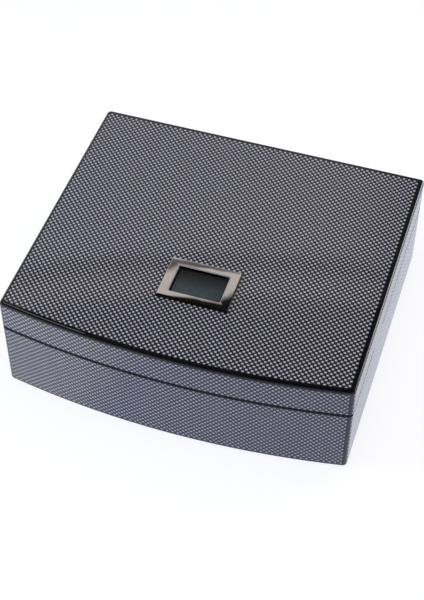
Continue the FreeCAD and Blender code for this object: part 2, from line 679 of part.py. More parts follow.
def build():
    """Every piece of the box by node name."""
    pieces, base_cuts, lid_cuts = hinges()
    pieces.update(carcass(base_cuts, lid_cuts))
    pieces.update(linings())
    pieces.update(divider())
    pieces.update(hygrometer())
    pieces.update(humidifier())
    return pieces


os.makedirs("parts", exist_ok=True)
for node, solid in build().items():
    solid.exportStep(f"parts/{node}.step")
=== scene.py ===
import math

import bmesh
import bpy
from mathutils import Matrix, Vector, noise


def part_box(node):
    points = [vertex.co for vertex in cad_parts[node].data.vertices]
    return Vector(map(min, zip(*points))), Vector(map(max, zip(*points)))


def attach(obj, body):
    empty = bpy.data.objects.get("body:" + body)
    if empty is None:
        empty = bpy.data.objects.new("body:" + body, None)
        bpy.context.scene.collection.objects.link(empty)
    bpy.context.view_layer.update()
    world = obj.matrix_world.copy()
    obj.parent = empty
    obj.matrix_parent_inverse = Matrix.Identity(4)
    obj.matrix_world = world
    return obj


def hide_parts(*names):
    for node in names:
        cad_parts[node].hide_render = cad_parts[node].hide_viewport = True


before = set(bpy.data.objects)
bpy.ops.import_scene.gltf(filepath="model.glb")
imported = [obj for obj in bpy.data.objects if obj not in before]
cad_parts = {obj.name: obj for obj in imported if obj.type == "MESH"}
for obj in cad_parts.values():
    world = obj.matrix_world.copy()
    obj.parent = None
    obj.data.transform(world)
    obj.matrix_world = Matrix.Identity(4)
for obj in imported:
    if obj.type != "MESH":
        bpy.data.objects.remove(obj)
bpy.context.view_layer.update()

# Looks of a bow-front humidor with a carbon-weave finish. Metres, in the frame of the CAD model:
# +Z is up, +Y points to the hinges and the bowed front faces -Y. Colours are linear.

# Box, read from the CAD parts; the bow is how far the front bulges past its corners
BOW = 0.014
PANEL_LOW, PANEL_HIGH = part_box("lid_top_panel")
HALF_WIDTH = PANEL_HIGH.x
BACK_Y = PANEL_HIGH.y
LID_TOP = PANEL_HIGH.z
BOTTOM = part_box("base_bottom_panel")[0].z
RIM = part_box("base_left_wall")[1].z
LID_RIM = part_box("lid_left_rail")[0].z
SEAM = (RIM + LID_RIM) / 2
BOW_RADIUS = (HALF_WIDTH ** 2 + BOW ** 2) / (2 * BOW)
BOW_CENTRE = PANEL_LOW.y + BOW_RADIUS

# A face counts as top, back or side where its normal points that far up, back or sideways
FACING_UP = 0.9
FACING_BACK = 0.9
FACING_SIDE = 0.4

# Carbon weave: light and dark tows in square cells, darker at their sides and where they dip
CELL = 0.00238
WEAVE_LIGHT = (0.625, 0.605, 0.685, 1.0)
WEAVE_DARK = (0.019, 0.019, 0.022, 1.0)
TOW_SIDE = (0.22, 0.52)     # share of a cell, from its middle
TOW_SIDE_TONE = 0.12
TOW_DIP = (0.15, 0.52)
TOW_DIP_TONE = 0.08
FIBRE_SCALE = 5200.0
FIBRE_STRETCH = 0.06
FIBRE_TONE = (0.72, 1.15)

# Where the film of this weave stops before the edges, which are black
EDGE_BLACK = (0.003, 0.003, 0.004, 1.0)
PAINTED_SEAM_REFLECTION = (0.012, 0.012, 0.016, 1.0)  # painted bluish reflection, lighter than black, on the edges along the seam
FILM_TOP_LEFT = 0.0033
FILM_TOP_RIGHT = 0.0048
FILM_TOP_FRONT = 0.0045
FILM_TOP_BACK = 0.0042
FILM_CORNER = 0.0032
FILM_CORNER_RIGHT = 0.0038
FILM_SIDE_FRONT = 0.0006
FILM_UNDER_TOP = 0.0033
FILM_UNDER_TOP_SIDE = 0.0014
FILM_OVER_BOTTOM = 0.0030
FILM_SEAM = 0.0020
FILM_SEAM_SIDE = 0.0004
FILM_FEATHER = 0.0003
FILM_DEPTH = 0.0008     # outer skin that can carry film

# Bezel: half width of its strips, and how much their polish crowns, tilts and waves them
STRIP_HALF = 0.0045
STRIP_CROWN = 0.50
STRIP_WAVES = 0.00003
FRONT_LIFT = 0.0020     # slope of the front strip at its left end
FRONT_FALL = 0.0024     # from the middle of the front strip to where it falls away
FRONT_FALL_CURVE = 25.0
LAND_UP = 0.97          # flatter faces than this are the strips
BEVEL_UP = 0.3          # steeper faces than this are the walls of the window
# pale non-metal tone of the window's bevel, a painted highlight
PAINTED_BEVEL_HIGHLIGHT = (0.30, 0.29, 0.30, 1.0)
# painted dark reflection on the bezel's sloping outer edges
PAINTED_DARK_EDGE = 0.022

# Cedar, from the dark to the light part of its grain
CEDAR_TONES = ((0.28, (0.36, 0.165, 0.085, 1)), (0.45, (0.47, 0.235, 0.130, 1)),
               (0.60, (0.56, 0.300, 0.175, 1)), (0.78, (0.62, 0.360, 0.220, 1)))
CEDAR_PORE = (0.20, 0.085, 0.045, 1)
CEDAR_EDGE = 0.0006     # broken edges of the boards

# Hinge screws, for the right-hand hinge; the left one mirrors them
SCREW_AT = ((0.1447, 0.0845), (0.1447, 0.1145), (0.1155, 0.1205), (0.1340, 0.1205))
SCREW_HEAD_R = 0.0021
SCREW_R = 0.0010
SCREW_TIP_R = 0.0004
SCREW_HEAD = 0.0012
SCREW_L = 0.0078
SCREW_SIDES = 28
RECESS_ARM = 0.00125
RECESS_HALF = 0.00030
RECESS_DEPTH = 0.0008
RECESS_TAPER = 0.7

# Felt pad under the base
FELT_CORNER = 0.004
FELT_CUT = 0.0003       # unevenness of the cut edge
FELT_WANDER = 180.0     # its waves per metre
FELT_PROFILE = ((0.0, 1.0), (0.0, 0.5), (0.0002, 0.2), (0.0006, 0.0))  # inset, share of the thickness
FELT_STEPS = 48
CORNER_STEPS = 8

# Foam in the humidifier
FOAM_EDGE = 0.0012
FOAM_MESH = 0.0026      # longest edge of the mesh
FOAM_ROUNDS = 5
FOAM_PIT = 0.0004       # depth of the torn surface
FOAM_PITS = 420.0       # its pits per metre

# Camera, from the photograph's perspective; angles in degrees
AZIMUTH = 17.897
ELEVATION = 48.536
ROLL = 0.247
DISTANCE = 1.2510
AIM_X = -0.0069
AIM_Y = 0.0136
LENS = 82.99

# Backdrop that the lid mirrors, by degrees above the horizon: a pale panel with a dark seam
PALE = (0.56, 0.56, 0.62, 1)
DARK_SEAM = (0.105, 0.096, 0.085, 1)
WARM = (0.48, 0.43, 0.405, 1)
NIGHT = (0.008, 0.008, 0.008, 1)
BACKDROP = ((0.0, PALE), (46.4, PALE), (46.65, DARK_SEAM), (47.2, DARK_SEAM),
            (47.3, WARM), (48.15, WARM), (48.5, NIGHT), (90.0, NIGHT))

# Its left and right ends and the room around it, in degrees of heading or height
BACKDROP_LEFT = (-64.0, -46.0)
BACKDROP_RIGHT = (-11.0, -5.0)
ROOM = (0.008, 0.008, 0.009, 1)
WALL = (0.26, 0.26, 0.27, 1)
WALL_DIM = (0.08, 0.08, 0.085, 1)   # behind on the right
DIM_LEFT = (-8.0, -2.0)
DIM_RIGHT = (58.0, 72.0)
WALL_TOP = (38.0, 46.0)
SWEEP = (0.80, 0.84, 0.92, 1)       # white sweep that rises behind the floor
SWEEP_TOP = (8.0, 14.0)
HORIZON = (0.0, 15.0)               # over which the seen floor turns to white

# Floor as the camera sees it, and as the lacquer mirrors it to the left, right and front
FLOOR_SEEN = (0.852, 0.852, 0.88, 1)
FLOOR_MATT = 0.80
FLOOR_SHADED = 0.22     # share of the seen floor that takes shadows
FLOOR_LEFT = (0.86, 0.92, 1.0, 1)
FLOOR_RIGHT = (0.58, 0.61, 0.70, 1)
FLOOR_FRONT = (0.47, 0.51, 0.76, 1)
RIGHT_X = (0.12, 0.16)
FRONT_SHADE_X = (-0.115, -0.045)
FRONT_SHADE_Y = (-0.10, -0.15)
FRONT_SHADE_LEFT = 0.15  # share of the shade at its left end
FLOOR_HALF = 6.0

# Lamps
OBJECT_MIDDLE = Vector((0.0, 0.0, 0.05))
WHITE = (1.0, 1.0, 1.0)
WARM_WHITE = (1.0, 0.97, 0.945)
SKY_BLUE = (0.55, 0.69, 1.0)


class Graph:
    """Node tree of a material or of the world, and short ways to add nodes to it."""

    def __init__(self, owner):
        self.owner = owner
        owner.use_nodes = True
        self.tree = owner.node_tree
        self.tree.nodes.clear()

    def node(self, kind, inputs=None, **settings):
        made = self.tree.nodes.new("ShaderNode" + kind)
        for key, value in settings.items():
            setattr(made, key, value)
        for key, value in (inputs or {}).items():
            self.feed(made.inputs[key], value)
        return made

    def feed(self, socket, value):
        if isinstance(value, bpy.types.NodeSocket):
            self.tree.links.new(value, socket)
        else:
            socket.default_value = value

    def set(self, **values):
        """Feed the shader's sockets; an underscore stands for a space."""
        for key, value in values.items():
            self.feed(self.shader.inputs[key.replace("_", " ")], value)

    def math(self, operation, *values):
        made = self.node("Math", operation=operation)
        for socket, value in zip(made.inputs, values):
            self.feed(socket, value)
        return made.outputs[0]

    def chain(self, operation, values):
        """One operation on the first two values, then on the result and the next."""
        found = values[0]
        for value in values[1:]:
            found = self.math(operation, found, value)
        return found

    def add(self, *values):
        return self.chain("ADD", values)

    def times(self, *values):
        return self.chain("MULTIPLY", values)

    def least(self, *values):
        return self.chain("MINIMUM", values)

    def most(self, *values):
        return self.chain("MAXIMUM", values)

    def minus(self, first, second):
        return self.math("SUBTRACT", first, second)

    def square(self, value):
        return self.math("POWER", value, 2.0)

    def gap(self, first, second):
        """Distance between two values."""
        return self.math("ABSOLUTE", self.minus(first, second))

    def split(self, vector):
        return self.node("SeparateXYZ", {0: vector}).outputs

    def join(self, x, y, z):
        return self.node("CombineXYZ", {0: x, 1: y, 2: z}).outputs[0]

    def choose(self, mask, inside, outside):
        """Number that is `inside` where the mask is 1 and `outside` where it is 0."""
        made = self.node("Mix", {0: mask, 2: outside, 3: inside})
        return made.outputs[0]

    def tint(self, factor, first, second, blend="MIX"):
        """Colour between two colours."""
        made = self.node("Mix", {0: factor, 6: first, 7: second}, data_type="RGBA", blend_type=blend)
        return made.outputs[2]

    def dim(self, colour, level):
        """Colour times a number."""
        return self.tint(1.0, colour, self.join(level, level, level), "MULTIPLY")

    def fade(self, value, low, high, start=0.0, end=1.0):
        """Smooth step from start to end while the value goes from low to high."""
        made = self.node("MapRange", {0: value, 1: low, 2: high, 3: start, 4: end},
                         interpolation_type="SMOOTHSTEP")
        return made.outputs[0]

    def ramp(self, factor, stops):
        """Colour ramp through (position, colour) stops."""
        made = self.node("ValToRGB", {0: factor})
        elements = made.color_ramp.elements
        while len(elements) < len(stops):
            elements.new(1.0)
        for element, (position, colour) in zip(elements, stops):
            element.position = position
            element.color = colour
        return made.outputs[0]

    def noise(self, vector, scale, detail=3.0, roughness=0.55, distortion=0.0):
        made = self.node("TexNoise", {"Vector": vector, "Scale": scale, "Detail": detail,
                                      "Roughness": roughness, "Distortion": distortion})
        return made.outputs[0]

    def stretch(self, vector, scale):
        made = self.node("VectorMath", {0: vector, 1: scale}, operation="MULTIPLY")
        return made.outputs[0]

    def bump(self, height, strength, distance):
        made = self.node("Bump", {"Height": height, "Strength": strength, "Distance": distance})
        return made.outputs["Normal"]

    def place(self):
        return self.node("TexCoord").outputs["Object"]


def surface(name):
    """New material with a Principled shader."""
    g = Graph(bpy.data.materials.new(name))
    g.shader = g.node("BsdfPrincipled")
    g.node("OutputMaterial", {"Surface": g.shader.outputs["BSDF"]})
    return g


def grey(level):
    return (level, level, level, 1.0)


def weave(g, u, v):
    """Colour of a plain weave of light and dark tows on plan coordinates u and v."""
    column = g.math("DIVIDE", u, CELL)
    row = g.math("DIVIDE", v, CELL)
    cell_sum = g.add(g.math("FLOOR", column), g.math("FLOOR", row))
    is_warp = g.math("FLOORED_MODULO", cell_sum, 2.0)
    in_column = g.gap(g.math("FRACT", column), 0.5)
    in_row = g.gap(g.math("FRACT", row), 0.5)
    across = g.choose(is_warp, in_column, in_row)
    along = g.choose(is_warp, in_row, in_column)
    side_tone = g.fade(across, *TOW_SIDE, start=1.0, end=TOW_SIDE_TONE)
    dip_tone = g.fade(along, *TOW_DIP, start=1.0, end=TOW_DIP_TONE)
    fibre_place = g.join(g.choose(is_warp, u, v), g.times(g.choose(is_warp, v, u), FIBRE_STRETCH), 0.0)
    fibres = g.noise(fibre_place, FIBRE_SCALE, detail=2.0)
    tone = g.times(side_tone, dip_tone, g.fade(fibres, 0.25, 0.75, *FIBRE_TONE))
    return g.dim(g.tint(is_warp, WEAVE_DARK, WEAVE_LIGHT), tone)


def film_mask(g, x, y, z, reach, is_top, is_side):
    """1 where the carbon film lies, 0 on the black rounded edges and on inner faces."""
    top_room = g.least(g.minus(HALF_WIDTH - FILM_TOP_RIGHT, x), g.add(x, HALF_WIDTH - FILM_TOP_LEFT),
                       g.minus(BACK_Y - FILM_TOP_BACK, y), g.minus(BOW_RADIUS - FILM_TOP_FRONT, reach),
                       g.minus(z, LID_TOP - FILM_DEPTH))
    film_top = g.choose(is_side, LID_TOP - FILM_UNDER_TOP_SIDE, LID_TOP - FILM_UNDER_TOP)
    film_seam = g.choose(is_side, FILM_SEAM_SIDE, FILM_SEAM)
    height_room = g.least(g.minus(z, BOTTOM + FILM_OVER_BOTTOM), g.minus(film_top, z),
                          g.minus(g.gap(z, SEAM), film_seam))
    skin_room = g.most(g.minus(reach, BOW_RADIUS - FILM_DEPTH), g.minus(y, BACK_Y - FILM_DEPTH),
                       g.minus(g.math("ABSOLUTE", x), HALF_WIDTH - FILM_DEPTH))
    side_room = g.least(g.minus(BACK_Y - FILM_CORNER, y), g.add(y, BACK_Y - FILM_SIDE_FRONT))
    front_room = g.least(g.minus(HALF_WIDTH - FILM_CORNER_RIGHT, x), g.add(x, HALF_WIDTH - FILM_CORNER))
    wall_room = g.least(height_room, skin_room, g.choose(is_side, side_room, front_room))
    return g.fade(g.choose(is_top, top_room, wall_room), 0.0, FILM_FEATHER)


def lacquered_weave():
    """Carbon film under clear gloss lacquer, with black edges."""
    g = surface("lacquered_weave")
    coordinates = g.node("TexCoord").outputs
    x, y, z = g.split(coordinates["Object"])
    nx, ny, nz = g.split(coordinates["Normal"])
    is_top = g.math("GREATER_THAN", nz, FACING_UP)
    is_back = g.math("GREATER_THAN", ny, FACING_BACK)
    is_side = g.math("GREATER_THAN", g.math("ABSOLUTE", nx), FACING_SIDE)
    to_centre = g.minus(BOW_CENTRE, y)
    reach = g.math("SQRT", g.add(g.square(x), g.square(to_centre)))
    along_bow = g.times(g.math("ARCTAN2", x, to_centre), BOW_RADIUS)
    u = g.choose(is_side, y, g.choose(g.most(is_top, is_back), x, along_bow))
    v = g.choose(is_top, y, z)
    film = film_mask(g, x, y, z, reach, is_top, is_side)
    # Along the seam the black edges carry a painted bluish reflection.
    edge = g.tint(g.fade(g.gap(z, SEAM), FILM_SEAM, 2 * FILM_SEAM), PAINTED_SEAM_REFLECTION, EDGE_BLACK)
    g.set(Base_Color=g.tint(film, edge, weave(g, u, v)))
    g.set(Roughness=0.45, Specular_IOR_Level=0.15)
    g.set(Coat_Weight=1.0, Coat_Roughness=0.02, Coat_IOR=1.5)
    ripple = g.noise(coordinates["Object"], scale=90.0, detail=2.0)
    g.set(Coat_Normal=g.bump(ripple, strength=0.04, distance=0.0004))
    return g.owner


def cedar(grain_axis):
    """Spanish cedar with its grain along one axis."""
    g = surface("cedar_" + "xyz"[grain_axis])
    shift = g.times(g.node("ObjectInfo").outputs["Random"], 3.0)
    place = g.node("VectorMath", {0: g.place(), 1: g.join(shift, shift, shift)}, operation="ADD").outputs[0]
    slow = [1.0, 1.0, 1.0]
    slow[grain_axis] = 0.05
    fine = [1.0, 1.0, 1.0]
    fine[grain_axis] = 0.03
    grain = g.noise(g.stretch(place, slow), scale=65.0, detail=6.0, roughness=0.6, distortion=0.35)
    streaks = g.noise(g.stretch(place, fine), scale=620.0, roughness=0.6)
    pores = g.fade(g.noise(g.stretch(place, fine), scale=1500.0, detail=1.0), 0.60, 0.70)
    wood = g.ramp(grain, CEDAR_TONES)
    wood = g.tint(0.30, wood, g.ramp(streaks, [(0.3, grey(0.45)), (0.7, grey(1.0))]), "MULTIPLY")
    wood = g.tint(g.times(pores, 0.55), wood, CEDAR_PORE)
    g.set(Base_Color=wood, Roughness=g.fade(grain, 0.2, 0.8, start=0.50, end=0.66), Specular_IOR_Level=0.35)
    g.set(Normal=g.bump(g.minus(streaks, pores), strength=0.25, distance=0.0002))
    return g.owner


def felt():
    """Matted black felt."""
    g = surface("black_felt")
    place = g.place()
    matted = g.noise(place, scale=900.0, detail=5.0, roughness=0.7, distortion=1.5)
    along_hairs = g.stretch(place, (1.0, 0.25, 1.0))
    hairs = g.noise(along_hairs, scale=3500.0, detail=2.0, roughness=0.6, distortion=2.0)
    g.set(Base_Color=g.ramp(matted, [(0.3, grey(0.010)), (0.7, grey(0.035))]))
    g.set(Roughness=0.95, Specular_IOR_Level=0.1, Sheen_Weight=0.5, Sheen_Roughness=0.6)
    g.set(Normal=g.bump(g.add(matted, hairs), strength=0.7, distance=0.0006))
    return g.owner


def foam():
    """Green open-cell foam, with painted shade in its pits."""
    g = surface("open_cell_foam")
    place = g.place()
    cells = g.node("TexVoronoi", {"Vector": place, "Scale": 900.0}).outputs["Distance"]
    coarse = g.noise(place, scale=160.0, detail=4.0)
    body = g.ramp(coarse, [(0.3, (0.050, 0.120, 0.060, 1)), (0.7, (0.090, 0.190, 0.100, 1))])
    # The dark green in the cells' pits is painted shade.
    g.set(Base_Color=g.tint(g.fade(cells, 0.15, 0.6), (0.012, 0.035, 0.016, 1), body))
    g.set(Roughness=0.9, Specular_IOR_Level=0.2)
    g.set(Normal=g.bump(cells, strength=0.8, distance=0.0006))
    return g.owner


def metal(name, colour, gloss, brushed, waviness):
    """Plated metal; `gloss` is its range of roughness and `brushed` draws the noise out into lines."""
    g = surface(name)
    place = g.place()
    lines = g.noise(g.stretch(place, brushed), scale=900.0, detail=4.0, roughness=0.65)
    smudges = g.noise(place, scale=120.0)
    g.set(Base_Color=g.tint(g.fade(smudges, 0.3, 0.7, end=0.25), colour, grey(0.5)))
    g.set(Metallic=1.0, Roughness=g.fade(g.times(lines, smudges), 0.1, 0.45, *gloss))
    g.set(Normal=g.bump(g.noise(place, scale=60.0, detail=2.0), strength=waviness, distance=0.001))
    return g.owner


def strip_height(g, x, y, from_mid, low, high):
    """Height of the bezel's polished strips over a flat face."""
    crown = g.times(g.square(from_mid), -STRIP_CROWN)
    to_front = g.most(g.minus(low.y + STRIP_HALF - FRONT_FALL, y), 0.0)
    fall = g.times(g.square(to_front), -FRONT_FALL_CURVE)
    past_window = g.most(g.minus(low.y + 2 * STRIP_HALF, y), 0.0)
    lift = g.times(past_window, g.fade(x, low.x, high.x - 2 * STRIP_HALF, start=FRONT_LIFT, end=0.0))
    return g.add(crown, g.add(fall, lift))


def polished_bezel():
    """Polished plating with slightly crowned, wavy strips, a painted dark reflection on its sloping edges
    and a painted highlight on the window's bevel, which is no metal.
    """
    g = surface("polished_bezel")
    coordinates = g.node("TexCoord").outputs
    place = coordinates["Object"]
    x, y = g.split(place)[:2]
    up = g.split(coordinates["Normal"])[2]
    low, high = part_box("hygrometer_bezel")
    centre = (low + high) / 2
    half = (high - low) / 2
    from_mid = g.most(g.minus(g.gap(x, centre.x), half.x - STRIP_HALF),
                      g.minus(g.gap(y, centre.y), half.y - STRIP_HALF))
    slope = g.math("LESS_THAN", up, LAND_UP)
    bevel = g.times(slope, g.math("LESS_THAN", from_mid, 0.0), g.math("GREATER_THAN", up, BEVEL_UP))
    smudges = g.noise(place, scale=160.0, detail=4.0)
    plating = g.tint(smudges, (0.95, 0.94, 0.93, 1), (0.89, 0.88, 0.87, 1))
    # Sloping edges get a painted dark reflection; the window's bevel gets a painted pale highlight and is
    # made non-metal to show it.
    edges = g.tint(bevel, grey(PAINTED_DARK_EDGE), PAINTED_BEVEL_HIGHLIGHT)
    g.set(Base_Color=g.tint(slope, plating, edges), Metallic=g.minus(1.0, bevel))
    g.set(Roughness=g.choose(bevel, 0.5, g.fade(smudges, 0.3, 0.8, start=0.005, end=0.03)))
    waves = g.times(g.noise(place, scale=45.0, detail=1.0), STRIP_WAVES)
    height = g.add(strip_height(g, x, y, from_mid, low, high), waves)
    g.set(Normal=g.bump(height, strength=1.0, distance=1.0))
    return g.owner


def clear_lens():
    """Smoked clear window with a trace of haze."""
    g = surface("clear_lens")
    haze = g.noise(g.place(), scale=300.0)
    g.set(Base_Color=grey(0.0), IOR=1.45, Roughness=0.01, Alpha=g.fade(haze, 0.2, 0.8, start=0.38, end=0.42))
    return g.owner


def display():
    """Blank liquid-crystal glass, slightly clouded, with a painted shadow of its recess that darkens it
    towards the back.
    """
    g = surface("blank_display")
    place = g.place()
    low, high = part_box("display_glass")
    cloud = g.noise(place, scale=55.0)
    tone = g.ramp(cloud, [(0.3, (0.40, 0.54, 0.57, 1)), (0.7, (0.45, 0.60, 0.64, 1))])
    # Painted shadow of the window's recess, darker towards the back.
    shade = g.fade(g.split(place)[1], low.y, high.y, start=1.12, end=0.05)
    g.set(Base_Color=g.dim(tone, shade), Roughness=0.35, Specular_IOR_Level=0.3)
    return g.owner


def plastic(name, dark, light, roughness):
    """Moulded plastic with a fine spark-eroded texture."""
    g = surface(name)
    place = g.place()
    texture = g.noise(place, scale=1800.0, detail=2.0)
    drift = g.noise(place, scale=45.0)
    g.set(Base_Color=g.tint(drift, grey(dark), grey(light)))
    g.set(Roughness=g.fade(texture, 0.3, 0.7, start=roughness - 0.08, end=roughness + 0.08))
    g.set(Normal=g.bump(texture, strength=0.45, distance=0.0002))
    return g.owner


def board_laminate():
    """Green solder mask over copper tracks."""
    g = surface("board_laminate")
    place = g.place()
    tracks = g.node("TexBrick", {"Vector": place, "Scale": 260.0, "Mortar Size": 0.10}).outputs["Fac"]
    speckle = g.noise(place, scale=1800.0, detail=2.0)
    mask = g.ramp(speckle, [(0.3, (0.010, 0.070, 0.028, 1)), (0.7, (0.014, 0.095, 0.040, 1))])
    g.set(Base_Color=g.tint(tracks, mask, (0.030, 0.170, 0.070, 1)), Roughness=0.35)
    g.set(Normal=g.bump(tracks, strength=0.4, distance=0.0001))
    return g.owner


def contact_rubber():
    """Striped elastomer strip."""
    g = surface("contact_rubber")
    place = g.place()
    stripes = g.fade(g.math("PINGPONG", g.split(place)[0], 0.0002), 0.00005, 0.00015)
    g.set(Base_Color=g.tint(stripes, grey(0.02), (0.45, 0.42, 0.40, 1)), Roughness=0.7)
    g.set(Normal=g.bump(g.noise(place, scale=900.0, detail=2.0), strength=0.2, distance=0.0001))
    return g.owner


def finish_nodes(nickel):
    """Give every CAD node its material."""
    weave_boards = [f"{part}_{side}_{kind}" for part, kind in (("base", "wall"), ("lid", "rail"))
                    for side in ("front", "back", "left", "right")]
    nickel_nodes = [f"{name}_{side}" for name in ("hinge_base_leaf", "hinge_lid_leaf", "hinge_pin", "stay")
                    for side in ("left", "right")]
    steel = metal("cell_steel", grey(0.70), gloss=(0.20, 0.38), brushed=(1.0, 0.1, 1.0), waviness=0.02)
    steel_nodes = ["coin_cell", "battery_spring", "humidifier_plate", "humidifier_magnets"]
    black_nodes = ["display_mask", "hygrometer_housing", "hygrometer_retainer", "battery_door",
                   "humidifier_case", "humidifier_grille", "humidifier_shutter"]
    button_nodes = ["unit_button", "memory_button"]
    cedar_x_nodes = ["lining_front", "lining_back", "lining_floor", "lid_lining_front",
                     "lid_lining_back", "lid_lining_ceiling"]
    cedar_y_nodes = ["lining_left", "lining_right", "lid_lining_left", "lid_lining_right", "divider"]
    groups = [
        (lacquered_weave(), weave_boards + ["base_bottom_panel", "lid_top_panel"]),
        (cedar(0), cedar_x_nodes),
        (cedar(1), cedar_y_nodes),
        (cedar(2), ["divider_cleats"]),
        (nickel, nickel_nodes + ["stay_rivets"]),
        (polished_bezel(), ["hygrometer_bezel"]),
        (steel, steel_nodes),
        (clear_lens(), ["hygrometer_lens"]),
        (display(), ["display_glass"]),
        (plastic("black_plastic", dark=0.010, light=0.018, roughness=0.50), black_nodes),
        (plastic("button_plastic", dark=0.075, light=0.105, roughness=0.42), button_nodes),
        (plastic("switch_plastic", dark=0.030, light=0.045, roughness=0.45), ["tact_switches"]),
        (board_laminate(), ["circuit_board"]),
        (contact_rubber(), ["contact_strips"]),
    ]
    for material, names in groups:
        for name in names:
            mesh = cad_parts[name].data
            mesh.materials.clear()
            mesh.materials.append(material)


def soften(names, width):
    """Break the sharp edges of CAD nodes so that they catch the light."""
    for name in names:
        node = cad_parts[name]
        weld = node.modifiers.new("weld", "WELD")
        weld.merge_threshold = 1e-6
        bevel = node.modifiers.new("soft_edges", "BEVEL")
        bevel.width = width
        bevel.segments = 2
        bevel.limit_method = "ANGLE"
        bevel.harden_normals = True


def add_piece(name, mesh_builder, material, body, replaced):
    """New piece from a bmesh, riding on a CAD body in place of a node."""
    shape = bmesh.new()
    mesh_builder(shape)
    bmesh.ops.recalc_face_normals(shape, faces=shape.faces)
    mesh = bpy.data.meshes.new(name)
    shape.to_mesh(mesh)
    shape.free()
    mesh.materials.append(material)
    piece = bpy.data.objects.new(name, mesh)
    bpy.context.scene.collection.objects.link(piece)
    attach(piece, body)
    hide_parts(replaced)
    return piece


def ring(shape, centre, radius, z):
    """Circle of new vertices."""
    verts = []
    for index in range(SCREW_SIDES):
        turn = 2 * math.pi * index / SCREW_SIDES
        x = centre[0] + radius * math.cos(turn)
        y = centre[1] + radius * math.sin(turn)
        verts.append(shape.verts.new((x, y, z)))
    return verts


def bridge(shape, first, second):
    """Quads between two closed loops of equal length."""
    count = len(first)
    for index in range(count):
        after = (index + 1) % count
        shape.faces.new((first[index], first[after], second[after], second[index]))


def loop_edges(shape, loop):
    return [shape.edges.get((loop[index - 1], loop[index])) for index in range(len(loop))]


def cross_loop(shape, centre, arm, half, z):
    """Outline of a cross recess."""
    corners = [(arm, -half), (arm, half), (half, half), (half, arm), (-half, arm), (-half, half),
               (-arm, half), (-arm, -half), (-half, -half), (-half, -arm), (half, -arm), (half, -half)]
    return [shape.verts.new((centre[0] + x, centre[1] + y, z)) for x, y in corners]


def add_screw(shape, centre, z, way):
    """Countersunk cross-head screw whose head face is at height z and whose point goes along way."""
    head = ring(shape, centre, SCREW_HEAD_R, z)
    neck = ring(shape, centre, SCREW_R, z + way * SCREW_HEAD)
    tip = ring(shape, centre, SCREW_TIP_R, z + way * SCREW_L)
    mouth = cross_loop(shape, centre, RECESS_ARM, RECESS_HALF, z)
    floor_z = z + way * RECESS_DEPTH
    floor = cross_loop(shape, centre, RECESS_ARM * RECESS_TAPER, RECESS_HALF * RECESS_TAPER, floor_z)
    bridge(shape, head, neck)
    bridge(shape, neck, tip)
    shape.faces.new(tip)
    bridge(shape, mouth, floor)
    shape.faces.new(floor)
    rims = loop_edges(shape, head) + loop_edges(shape, mouth)
    bmesh.ops.triangle_fill(shape, use_beauty=True, edges=rims)


def screw_set(z, way):
    """Builder of the eight screws of one leaf pair."""
    def build(shape):
        for x, y in SCREW_AT:
            for side in (-1, 1):
                add_screw(shape, (side * x, y), z, way)
    return build


def felt_outline(inset):
    """Plan points of the felt, drawn in by an inset from its CAD node, with eased back corners."""
    low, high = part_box("felt_pad")
    half = high.x - inset
    back = high.y - inset
    radius = BOW_CENTRE - low.y - inset
    reach = math.asin((half - FELT_CORNER) / radius)
    points = []
    for index in range(FELT_STEPS + 1):
        turn = reach * (2 * index / FELT_STEPS - 1)
        points.append((radius * math.sin(turn), BOW_CENTRE - radius * math.cos(turn)))
    for side, start in ((1, 0.0), (-1, math.pi / 2)):
        for index in range(CORNER_STEPS + 1):
            turn = start + math.pi / 2 * index / CORNER_STEPS
            x = side * (half - FELT_CORNER) + FELT_CORNER * math.cos(turn)
            y = back - FELT_CORNER + FELT_CORNER * math.sin(turn)
            points.append((x, y))
    return points


def build_felt(shape):
    """Felt pad with a soft rounded lower edge and a slightly uneven cut."""
    low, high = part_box("felt_pad")
    loops = []
    for inset, share in FELT_PROFILE:
        loop = []
        for x, y in felt_outline(inset + FELT_CUT):
            wander = FELT_CUT * noise.noise(Vector((x, y, 0.0)) * FELT_WANDER)
            loop.append(shape.verts.new((x + wander, y + wander, low.z + share * (high.z - low.z))))
        loops.append(loop)
    for upper, lower in zip(loops, loops[1:]):
        bridge(shape, upper, lower)
    shape.faces.new(loops[0])
    shape.faces.new(loops[-1])


def build_foam(shape):
    """Foam block with rounded edges and a torn, porous surface."""
    low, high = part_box("humidifier_foam")
    centre = (low + high) / 2
    size = high - low
    bmesh.ops.create_cube(shape, size=1.0, matrix=Matrix.Translation(centre) @ Matrix.Diagonal((*size, 1.0)))
    bmesh.ops.bevel(shape, geom=shape.edges[:], offset=FOAM_EDGE, segments=2, affect="EDGES")
    bmesh.ops.triangulate(shape, faces=shape.faces)
    for _ in range(FOAM_ROUNDS):
        long_edges = [edge for edge in shape.edges if edge.calc_length() > FOAM_MESH]
        bmesh.ops.subdivide_edges(shape, edges=long_edges, cuts=1)
        bmesh.ops.triangulate(shape, faces=shape.faces)
    for vert in shape.verts:
        pit = 0.5 + 0.5 * noise.noise(vert.co * FOAM_PITS)
        vert.co += (centre - vert.co).normalized() * FOAM_PIT * pit


